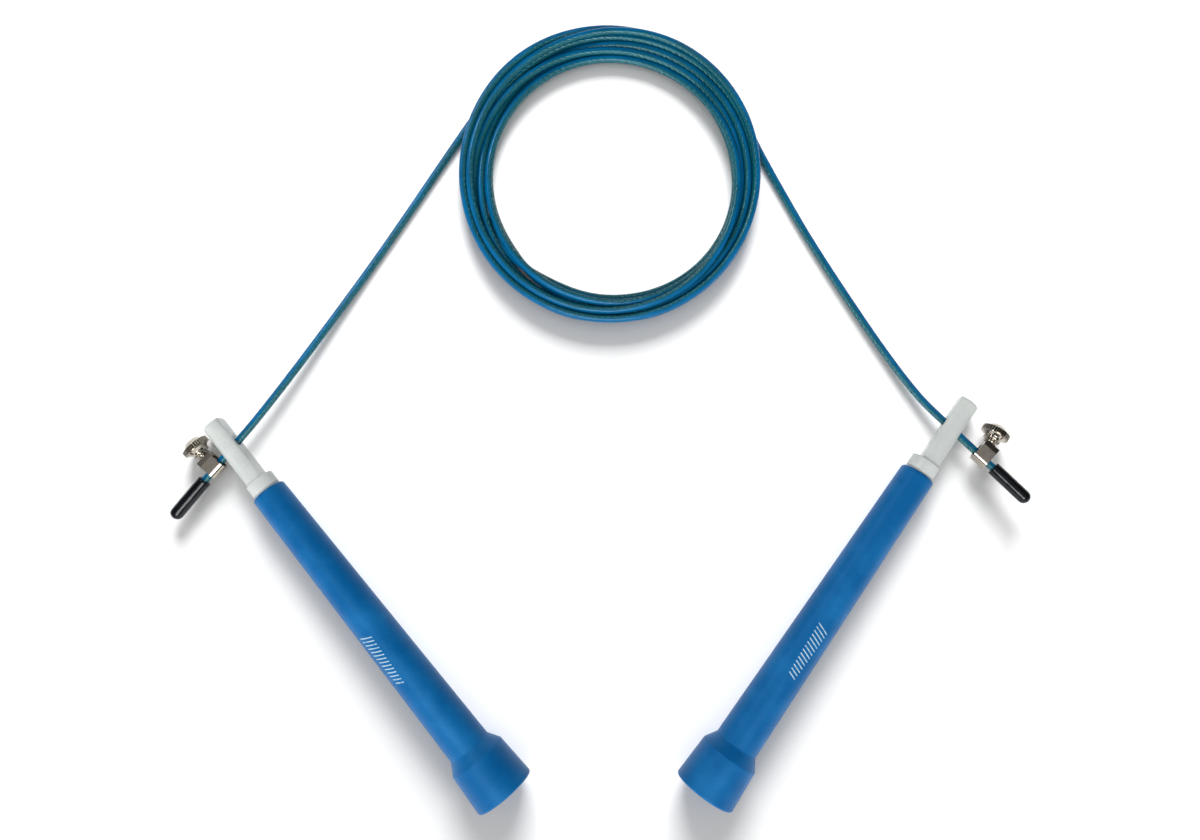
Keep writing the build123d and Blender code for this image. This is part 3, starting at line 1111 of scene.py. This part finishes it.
@dataclass
class SwivelArm:
    """White nylon arm: shank, round collar and a bar with one flat side. Millimetres."""

    shank_radius: float = 2.5
    shank_end: float = 15.3
    screw_hole: float = 1.5
    screw_depth: float = 12.0
    collar_radius: float = 5.2
    collar_start: float = 0.5
    collar_end: float = 5.1
    collar_back_round: float = 0.35
    collar_front_round: float = 0.3
    bar_radius: float = 4.6
    flat: float = 2.5
    edge_round: float = 0.16
    tip: float = 30.8
    tip_round: float = 0.9
    root_round: float = 1.3
    hole_at: float = 19.8
    bore: float = 1.44
    skew: float = 101.0
    washer_inner: float = 2.7
    washer_outer: float = 4.9
    washer_thickness: float = 0.45
    segments: int = 128

    def ring(self, shape: bmesh.types.BMesh, along: float, radius: float, flat: float | None) -> list:
        """Add one cross-section.

        Args:
            shape: The mesh under construction.
            along: Distance along the arm.
            radius: Radius of the round part.
            flat: Distance of the flat from the axis, or None where the section is round.

        Returns:
            The ring's vertices.
        """
        ring = []
        for step in range(self.segments):
            angle = 2 * math.pi * step / self.segments
            y = radius * math.cos(angle)
            z = radius * math.sin(angle)
            if flat is not None:
                over = y + flat
                over = (over + math.sqrt(over * over + self.edge_round**2)) / 2
                y = over - flat - self.edge_round / 4
            ring.append(shape.verts.new((along, y, z)))
        return ring

    def stations(self) -> list[tuple[float, float, float | None]]:
        """List the cross-sections from the screw hole's bottom to the tip."""
        start, end = self.collar_start, self.collar_end
        collar, back, front = self.collar_radius, self.collar_back_round, self.collar_front_round
        rows = [
            (-self.shank_end + self.screw_depth, self.screw_hole, None),
            (-self.shank_end, self.screw_hole, None),
            (-self.shank_end, self.shank_radius, None),
            (start - 0.02, self.shank_radius, None),
            (start, self.shank_radius + 0.1, None),
            (start, collar - back, None),
        ]
        for turn in quarter(5):
            rows.append((start + back * (1 - math.cos(turn)), collar - back * (1 - math.sin(turn)), None))
        rows.append((end - 2 * front, collar, None))
        for turn in quarter(5):
            along = end - front + front * math.sin(turn)
            rows.append((along, collar - front * (1 - math.cos(turn)), None))
        rise = collar - front - self.bar_radius
        for turn in quarter(6):
            along = end + 0.02 + self.root_round * (1 - math.cos(turn))
            rows.append((along, self.bar_radius + rise * (1 - math.sin(turn)), self.flat))
        tip_start = self.tip - self.tip_round
        bar_start = end + self.root_round
        for share in (0.02, 0.25, 0.5, 0.75, 0.98):
            rows.append((bar_start + share * (tip_start - bar_start), self.bar_radius, self.flat))
        for turn in quarter(9)[1:]:
            along = tip_start + self.tip_round * math.sin(turn)
            rows.append((along, self.bar_radius - self.tip_round * (1 - math.cos(turn)), self.flat))
        return rows

    def loft(self) -> bmesh.types.BMesh:
        """Join the cross-sections into one closed shape."""
        shape = bmesh.new()
        rows = self.stations()
        rings = [self.ring(shape, along, radius, flat) for along, radius, flat in rows]
        first = [shape.verts.new((rows[0][0], 0, 0))]
        inner = self.ring(shape, self.tip, 0.5 * rows[-1][1], None)
        last = [shape.verts.new((self.tip, 0, 0))]
        join_rings(shape, [first, *rings, inner, last], closed=False)
        return shape

    def hole_tool(self) -> bmesh.types.BMesh:
        """Turn the shape of the cable's hole, with a lead-in at the flat."""
        points = [(-9, 0), (-9, 4.0), (-3.6, 3.2), (-1.7, self.bore), (9, self.bore), (9, 0)]
        tool = lathe(rounded_outline(points, {3: 0.3}), 64)
        turn = Matrix.Rotation(math.radians(self.skew), 4, "Z")
        tool.transform(Matrix.Translation((self.hole_at, 0, 0)) @ turn)
        return tool

    def washer(self) -> bmesh.types.BMesh:
        """Turn the thin thrust washer between the nose and the collar."""
        points = [
            (0.0, self.washer_inner),
            (0.0, self.washer_outer),
            (self.washer_thickness, self.washer_outer),
            (self.washer_thickness, self.washer_inner),
        ]
        return lathe(rounded_outline(points, {1: 0.12, 2: 0.12}, closed=True), 96, closed=True)

    def build(self, place: Place, finishes: Finishes) -> None:
        """Make the arm and the washer behind it, and finish the steel inside the nose.

        Args:
            place: Where the handle lies.
            finishes: The materials.
        """
        arm = place_mesh(self.loft(), place.node("arm_moulding"), place.arm)
        tool = place_mesh(self.hole_tool(), "hole_tool", place.arm)
        cut(arm, tool)
        dress(arm, finishes.nylon, Slot.ARM, place.node("arm"), place.node("swivel_arm"))
        ring = place_mesh(self.washer(), place.node("washer_ring"), place.handle)
        dress(ring, finishes.nylon, Slot.WASHER, place.node("handle"), place.node("thrust_washer"))
        for piece in ("retaining_washer", "retaining_screw"):
            node = frame["nodes"][place.node(piece)]
            node.data.materials.clear()
            node.data.materials.append(finishes.zinc)


# ---------------------------------------------------------------- the clamp


@dataclass
class Clamp:
    """Bent strip loop round the cable and the knurled thumbscrew in its thick end. Millimetres."""

    width: float = 5.5
    wall: float = 0.85
    cavity_half: float = 1.9
    cavity_low: float = -2.0
    cavity_high: float = 3.5
    high: float = 5.3
    shoulder: float = 3.4
    end_half: float = 2.35
    bend: float = 2.5
    thread_radius: float = 1.8
    root_radius: float = 1.45
    tip_start: float = 1.56
    bead_start: float = 5.8
    bead_radius: float = 2.3
    groove_start: float = 6.5
    groove_radius: float = 1.8
    neck_start: float = 7.0
    neck_radius: float = 3.1
    bell_start: float = 8.0
    bell_radius: float = 4.0
    knurl_start: float = 9.0
    knurl_radius: float = 5.0
    knurl_end: float = 11.2
    dome_radius: float = 3.6
    dome_end: float = 12.8
    ridges: int = 34
    ridge_radius: float = 0.40
    thread_pitch: float = 0.85

    def strap(self, place: Place) -> bpy.types.Object:
        """Make the strip loop: a rounded block, its cavity and its drilled end, edges softened."""
        low = self.cavity_low - self.wall
        half = self.cavity_half + self.wall
        outline = [(low, -half), (self.shoulder, -half), (self.high, -self.end_half)]
        outline += [(self.high, self.end_half), (self.shoulder, half), (low, half)]
        outer = rounded_outline(outline, {0: self.bend, 5: self.bend}, closed=True, steps=10)
        tall, deep, top = self.cavity_half, self.cavity_low, self.cavity_high
        cavity = [(deep, -tall), (top, -tall), (top, tall), (deep, tall)]
        inner = rounded_outline(cavity, {0: 1.3, 3: 1.3}, closed=True, steps=8)
        strap = place_mesh(prism(outer, self.width), place.node("strap_loop"), place.strap)
        cut(strap, place_mesh(prism(inner, 2 * self.width), "cavity_tool", place.strap))
        hole = self.thread_radius + 0.05
        drill = [(top - 0.5, 0), (top - 0.5, hole), (self.high + 1, hole), (self.high + 1, 0)]
        cut(strap, place_mesh(lathe(rounded_outline(drill, {}), 64), "drill_tool", place.clamp))
        soften(strap, 0.16)
        return strap

    def screw(self) -> bmesh.types.BMesh:
        """Turn the thumbscrew's body, with its rim a little under the knurl's crests."""
        valley = self.knurl_radius - 1.5 * self.ridge_radius
        points = [
            (self.tip_start, 0),
            (self.tip_start, 0.6),
            (self.tip_start + 0.7, self.root_radius),
            (self.bead_start, self.root_radius),
            (self.bead_start, self.bead_radius),
            (self.groove_start, self.bead_radius),
            (self.groove_start, self.groove_radius),
            (self.neck_start, self.groove_radius),
            (self.neck_start, self.neck_radius),
            (self.bell_start, self.neck_radius),
            (self.knurl_start, self.bell_radius),
            (self.knurl_start, valley),
            (self.knurl_end, valley),
            (self.knurl_end + 0.45, valley - 0.9),
            (self.dome_end, self.dome_radius - 1.2),
            (self.dome_end, 0),
        ]
        rounds = {2: 0.3, 4: 0.3, 5: 0.3, 6: 0.1, 7: 0.1, 8: 0.4, 9: 0.4, 11: 0.3, 12: 0.3, 13: 1.0, 14: 2.0}
        return lathe(rounded_outline(points, rounds), 112)

    def build(self, place: Place, finishes: Finishes, growers: Growers) -> list[bpy.types.Object]:
        """Make the strap, the screw, its thread and its knurl.

        Args:
            place: Where the handle lies.
            finishes: The materials.
            growers: The geometry node groups.

        Returns:
            The pieces, which all sit on the cable.
        """
        metres = place.clamp @ Matrix.Scale(1 / MM, 4)
        strap = self.strap(place)
        dress(strap, finishes.nickel, Slot.NICKEL, place.node("clamp"), place.node("clamp_strap"))
        body = place.node("thumbscrew")
        screw = place_mesh(self.screw(), place.node("screw_body"), place.clamp)
        dress(screw, finishes.nickel, Slot.NICKEL, body, place.node("thumbscrew"))
        crest = self.thread_radius - self.root_radius
        thread_length = self.bead_start - self.tip_start - 1.0
        thread_values = {
            "Turns": thread_length / self.thread_pitch,
            "Crest Radius": (self.root_radius + 0.15 * crest) * MM,
            "Length": thread_length * MM,
            "Crest Size": 0.82 * crest * MM,
            "Material": finishes.nickel,
        }
        thread = grown(place.node("screw_thread"), growers.thread, thread_values)
        thread.data.transform(metres @ Matrix.Translation((MM * (self.tip_start + 0.9), 0, 0)))
        dress(thread, finishes.nickel, Slot.NICKEL, body)
        ridge_values = {
            "Count": self.ridges,
            "Ring Radius": (self.knurl_radius - self.ridge_radius) * MM,
            "Ridge Radius": self.ridge_radius * MM,
            "Ridge Length": (self.knurl_end - self.knurl_start - 0.5) * MM,
            "Material": finishes.nickel,
        }
        knurl = grown(place.node("knurl"), growers.ridges, ridge_values)
        middle = (self.knurl_start + self.knurl_end) / 2
        knurl.data.transform(metres @ Matrix.Translation((MM * middle, 0, 0)))
        dress(knurl, finishes.nickel, Slot.NICKEL, body)
        return [strap, screw, thread, knurl]


# ---------------------------------------------------------------- the cable


@dataclass
class EndCap:
    """Black vinyl cap on a cut cable end. Distances run along the cable from the arm's hole."""

    start: float
    length: float
    radius: float = 2.4
    cable_radius: float = 1.35
    end_wall: float = 1.3
    swell: float = 0.05
    wave: float = 0.9
    wave_turn: float = 1.3
    ripple: float = 0.6
    ripple_pitch: float = 2.1
    dome_steps: int = 12

    def build(self, place: Place, finishes: Finishes) -> bpy.types.Object:
        """Make the cap, its wall a little uneven as dipped vinyl is.

        Args:
            place: Where the handle lies.
            finishes: The materials.

        Returns:
            The cap.
        """
        end = self.start + self.length
        floor = end - self.end_wall
        inner = self.cable_radius + 0.05
        points = [
            (floor, 0),
            (floor, inner),
            (self.start, inner),
            (self.start, self.radius),
            (end - self.radius, self.radius),
        ]
        outline = rounded_outline(points, {1: 0.4, 2: 0.2, 3: 0.35}, steps=8)
        for turn in quarter(self.dome_steps)[1:-1]:
            outline.append((end - self.radius * (1 - math.sin(turn)), self.radius * math.cos(turn)))
        outline.append((end, 0))
        shape = lathe(subdivided(outline, 0.7), 64)
        for vertex in shape.verts:
            along, y, z = vertex.co
            if math.hypot(y, z) < self.radius - 0.3:
                continue
            wave = math.sin(self.wave * along + self.wave_turn * math.atan2(z, y))
            wave += self.ripple * math.sin(self.ripple_pitch * along + 1)
            swell = 1 - self.swell * (0.5 + 0.3 * wave) / self.radius
            vertex.co = (along, y * swell, z * swell)
        cap = place_mesh(shape, place.node("cap_skin"), place.line)
        dress(cap, finishes.vinyl, Slot.CAP, "cable", place.node("end_cap"))
        return cap


def subdivided(outline: list[Point], step: float) -> list[Point]:
    """Return an outline with extra points on its long straight stretches.

    Args:
        outline: The outline's points.
        step: The longest stretch that stays whole.

    Returns:
        The denser outline.
    """
    result = [outline[0]]
    for (ax, ay), (bx, by) in zip(outline, outline[1:]):
        pieces = max(1, math.ceil(math.hypot(bx - ax, by - ay) / step))
        result += [(ax + (bx - ax) * k / pieces, ay + (by - ay) * k / pieces) for k in range(1, pieces + 1)]
    return result


@dataclass
class Coil:
    """The wound part of the cable. Millimetres, and degrees counted anticlockwise from +X."""

    centre: Point = (6.7, 149.6)
    outer: float = 52.7
    outer_swell: float = 0.65
    hole_centre: Point = (8.6, 147.3)
    hole_radius: float = 41.55
    hole_squash: float = 1.6
    height: float = 8.0
    cable: float = 2.7
    enter: float = 150.0
    leave: float = 20.0
    whole_turns: int = 8
    stations: int = 72
    seed: int = 11
    rounds: int = 700
    drift: float = 0.3
    knots_per_turn: int = 3
    climb: float = 0.9
    pull: float = 0.02
    sink: float = 0.03
    calming: float = 0.8
    pushes: int = 3
    push: float = 0.4
    spacing: float = 1.005
    held: int = 4
    smoothings: int = 2
    smoothing: float = 0.45

    def stretch(self) -> np.ndarray:
        """Return each sample's angle in radians, in order along the cable."""
        step = 360 / self.stations
        count = round((self.enter - self.leave) / step) + self.whole_turns * self.stations
        return np.radians(self.enter - step * np.arange(count + 1))

    def bounds(self, angle: np.ndarray) -> tuple[np.ndarray, np.ndarray]:
        """Return the least and greatest radius of a strand's middle at each angle."""
        offset_x = self.hole_centre[0] - self.centre[0]
        offset_y = self.hole_centre[1] - self.centre[1]
        inside = self.hole_radius + offset_x * np.cos(angle) + offset_y * np.sin(angle)
        inside -= self.hole_squash * np.sin(angle) ** 2
        outside = self.outer + self.outer_swell * np.cos(angle) ** 2
        return inside + self.cable / 2, outside - self.cable / 2

    def wander(self, count: int) -> np.ndarray:
        """Return how far out each sample would like to lie, from 0 inside to 1 outside.

        Each turn keeps to a lane of its own and drifts a little about it, and both ends of the
        coil keep to the outside.
        """
        chance = np.random.default_rng(self.seed)
        lanes = chance.permutation(np.linspace(0.0, 1.0, self.whole_turns + 1))
        knots = np.repeat(lanes, self.knots_per_turn)
        knots += chance.uniform(-self.drift, self.drift, len(knots))
        knots[0] = 1.0
        knots[-self.knots_per_turn:] = 1.0
        place = np.linspace(0, len(knots) - 1, count)
        low = np.clip(place.astype(int), 0, len(knots) - 2)
        share = place - low
        share = share * share * (3 - 2 * share)
        return np.clip(knots[low] * (1 - share) + knots[low + 1] * share, 0, 1)

    def settle(self) -> np.ndarray:
        """Lay the turns down so that they rest beside and on each other.

        Each sample is pushed clear of the other turns at its station, drawn back towards where
        it would like to lie, lowered, and kept in line with its neighbours along the cable.

        Returns:
            The samples' places in millimetres, in order along the cable.
        """
        angle = self.stretch()
        count = len(angle)
        low, high = self.bounds(angle)
        wish = low + self.wander(count) * (high - low)
        radius = wish.copy()
        rest = self.cable / 2
        height = rest + self.climb * np.arange(count) / self.stations
        last = self.stations // 2
        height[-last:] = np.linspace(height[-last], rest, last)
        turns = [range(first, count, self.stations) for first in range(self.stations)]
        pairs = np.array([pair for strands in turns for pair in combinations(strands, 2)])
        held = np.minimum(np.arange(count), np.arange(count)[::-1]) < self.held
        for settled in range(self.rounds):
            calm = settled / self.rounds
            radius += (self.pull * (1 - calm)) * (wish - radius)
            height -= self.sink * (1 - self.calming * calm)
            for _ in range(self.pushes):
                radius, height = self.pushed(radius, height, pairs)
                radius = np.clip(radius, low, high)
                height = np.clip(height, rest, self.height - rest)
                radius[held] = high[held]
                height[held] = rest
            for values in (radius, height) * self.smoothings:
                values[1:-1] += self.smoothing * ((values[:-2] + values[2:]) / 2 - values[1:-1])
            radius = np.clip(radius, low, high)
            height = np.clip(height, rest, self.height - rest)
        x = self.centre[0] + radius * np.cos(angle)
        y = self.centre[1] + radius * np.sin(angle)
        return np.column_stack((x, y, height))

    def pushed(
        self, radius: np.ndarray, height: np.ndarray, pairs: np.ndarray
    ) -> tuple[np.ndarray, np.ndarray]:
        """Push apart every two turns that lie in each other.

        Args:
            radius: Each sample's distance from the coil's middle.
            height: Each sample's height.
            pairs: Rows of two samples at the same station.

        Returns:
            The new radii and heights.
        """
        first, second = pairs[:, 0], pairs[:, 1]
        across = radius[second] - radius[first]
        up = height[second] - height[first]
        gap = np.maximum(np.hypot(across, up), 1e-6)
        push = np.clip(self.cable * self.spacing - gap, 0, None) * self.push
        radius, height = radius.copy(), height.copy()
        np.add.at(radius, first, -push * across / gap)
        np.add.at(radius, second, push * across / gap)
        np.add.at(height, first, -push * up / gap)
        np.add.at(height, second, push * up / gap)
        return radius, height


@dataclass
class Cable:
    """One coated cable from cap to cap: its route, its coat and its twisted wire core."""

    diameter: float = 2.7
    length: float = 2.85
    bend_at: float = 20.0
    straight_at: float = 2.0
    left_end: float = 31.2
    right_end: float = 35.3
    resolution: int = 8
    coil: Coil = field(default_factory=Coil)

    def route(self, left: Place, right: Place) -> list[Vector]:
        """Return the cable's control points in metres, from the left cap to the right one.

        Args:
            left: The left handle's place.
            right: The right handle's place.

        Returns:
            The points.
        """
        ends = []
        for place, tail in ((left, self.left_end), (right, self.right_end)):
            stops = (tail, self.straight_at, -self.bend_at)
            ends.append([place.hole + place.tail * (along * MM) for along in stops])
        left_run = [(-0.0825, 0.1110), (-0.0660, 0.1346), (-0.0518, 0.1556), (-0.0425, 0.1690)]
        right_run = [(0.0591, 0.1597), (0.0658, 0.1474), (0.0805, 0.1219)]
        rest = self.diameter / 2 * MM
        turns = [Vector(row) * MM for row in self.coil.settle()]
        points = ends[0] + [Vector((x, y, rest)) for x, y in left_run] + turns
        return points + [Vector((x, y, rest)) for x, y in right_run] + ends[1][::-1]

    def line(self, points: list[Vector], name: str) -> bpy.types.Object:
        """Make the cable's smooth line through its control points.

        Args:
            points: The control points.
            name: The new object's name.

        Returns:
            The curve object, which has no thickness.
        """
        curve = bpy.data.curves.new(name, "CURVE")
        curve.dimensions = "3D"
        curve.resolution_u = self.resolution
        spline = curve.splines.new("NURBS")
        spline.points.add(len(points) - 1)
        for knot, point in zip(spline.points, points):
            knot.co = (*point, 1.0)
        spline.order_u = 3
        spline.use_endpoint_u = True
        result = bpy.data.objects.new(name, curve)
        bpy.context.scene.collection.objects.link(result)
        return result

    def build(
        self, left: Place, right: Place, finishes: Finishes, growers: Growers, pieces: list[bpy.types.Object]
    ) -> None:
        """Args:
            left: The left handle's place.
            right: The right handle's place.
            finishes: The materials.
            growers: The geometry node groups.
            pieces: Not used.
        """
        points = self.route(left, right)
        middle = baked(self.line(points, "cable_middle"))
        bpy.data.objects.remove(middle)
        core = grown("wire_core", growers.core, {"Material": finishes.wire}, self.line(points, "wire_core"))
        dress(core, finishes.wire, Slot.CABLE, "cable")
        values = {"Radius": self.diameter / 2 * MM, "Material": finishes.coat}
        coat = grown("cable_coat", growers.coat, values, self.line(points, "cable_coat"))
        dress(coat, finishes.coat, Slot.CABLE, "cable", "cable_left_run", "cable_coil", "cable_right_run")


# ---------------------------------------------------------------- the studio


@dataclass(frozen=True)
class Lamp:
    """One soft square lamp that points at the rope. Metres and watts."""

    name: str
    spot: tuple[float, float, float]
    size: float
    power: float
    reach: Reach

    def hang(self, floor: bpy.types.Object) -> None:
        """Hang the lamp and let it light the floor alone, or everything but the floor.

        Args:
            floor: The floor.
        """
        light = bpy.data.lights.new(self.name, "AREA")
        light.shape = "SQUARE"
        light.size = self.size
        light.energy = self.power
        lamp = bpy.data.objects.new(self.name, light)
        lamp.location = self.spot
        aim = Vector((0.0, 0.06, 0.0)) - Vector(self.spot)
        lamp.rotation_euler = aim.to_track_quat("-Z", "Y").to_euler()
        bpy.context.scene.collection.objects.link(lamp)
        group = bpy.data.collections.new(f"{self.name}_reach")
        group.objects.link(floor)
        lamp.light_linking.receiver_collection = group
        group.collection_objects[0].light_linking.link_state = self.reach.value


@dataclass
class Studio:
    """White sweep, soft lights and the camera straight above the rope."""

    camera_at: tuple[float, float, float] = (0.0032, 0.0628, 0.380)
    lens: float = 31.9
    floor_size: float = 6.0
    ceiling: float = 0.38
    upper_wall: float = 0.05
    lower_wall: float = 0.15
    near_wall: float = 1.2
    lamps: tuple[Lamp, ...] = (
        Lamp("sweep_light", (0.05, 1.35, 0.80), 0.7, 42.0, Reach.FLOOR),
        Lamp("sweep_fill", (0.0, 0.06, 1.20), 2.5, 9.5, Reach.FLOOR),
        Lamp("window", (-0.63, 0.63, 0.85), 0.2, 4.0, Reach.ROPE),
        Lamp("front", (-0.10, -0.60, 1.1), 0.7, 13.5, Reach.ROPE),
    )

    def backdrop(self) -> bpy.types.Object:
        """Make the white floor with a very faint paper texture and return it."""
        material, tree, shader = new_material("white_sweep")
        paper = tree.noise(tree.place(), 300.0, 3.0)
        white = tree.blend(paper, (0.86, 0.86, 0.86, 1), (0.88, 0.88, 0.88, 1))
        tree.feed(shader, "Base Color", white)
        tree.feed(shader, "Roughness", tree.ramp(paper, 0.3, 0.7, (0.8, 0.9)))
        shape = bmesh.new()
        bmesh.ops.create_grid(shape, x_segments=1, y_segments=1, size=self.floor_size / 2)
        floor = place_mesh(shape, "floor", Matrix.Identity(4))
        floor.data.materials.append(material)
        return floor

    def sky(self) -> None:
        """Light the room: a grey ceiling, darker upper walls and pale lower walls, palest at the front."""
        world = bpy.data.worlds.new("studio")
        world.use_nodes = True
        tree = Tree(world.node_tree)
        way = tree.out("ShaderNodeTexCoord", "Generated")
        way = tree.add("ShaderNodeSeparateXYZ", None, Vector=way).outputs
        overhead = tree.ramp(way["Z"], 0.76, 0.86, (self.upper_wall, self.ceiling))
        near = tree.ramp(way["Y"], 0.1, -0.6, (0.0, self.near_wall))
        low = tree.ramp(way["Z"], 0.50, 0.38)
        wall = tree.maths("MULTIPLY", low, tree.maths("ADD", near, self.lower_wall))
        background = world.node_tree.nodes["Background"]
        tree.feed(background, "Strength", tree.maths("MAXIMUM", overhead, wall))
        tree.feed(background, "Color", (1.0, 1.0, 1.0, 1))
        bpy.context.scene.world = world

    def build(self) -> None:
        """Make the floor, the lights, the sky and the camera."""
        floor = self.backdrop()
        for lamp in self.lamps:
            lamp.hang(floor)
        self.sky()
        bpy.context.scene.view_settings.view_transform = "Standard"
        lens = bpy.data.cameras.new("camera")
        lens.lens = self.lens
        lens.sensor_width = 36.0
        lens.clip_start = 0.01
        camera = bpy.data.objects.new("camera", lens)
        camera.location = self.camera_at
        bpy.context.scene.collection.objects.link(camera)
        bpy.context.scene.camera = camera


# ---------------------------------------------------------------- the whole rope


def main() -> None:
    """Build the rope's pieces in order."""
    logging.basicConfig(level=logging.INFO, format="%(name)s: %(message)s")
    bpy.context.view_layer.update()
    finishes = Finishes()
    growers = Growers()
    left, right = Place(Hand.LEFT, strap_heading=138.0), Place(Hand.RIGHT, strap_heading=45.0)
    Grip().build(left, finishes, growers, mark_turn=-26.0, mark_start=62.1)
    Grip().build(right, finishes, growers, mark_turn=6.0, mark_start=64.0)
    on_cable: list[bpy.types.Object] = []
    for place in (left, right):
        SwivelArm().build(place, finishes)
        on_cable += Clamp().build(place, finishes, growers)
    on_cable.append(EndCap(start=15.5, length=17.2).build(left, finishes))
    on_cable.append(EndCap(start=20.4, length=16.4).build(right, finishes))
    Cable().build(left, right, finishes, growers, on_cable)
    Studio().build()


if __name__ == "__main__":
    main()
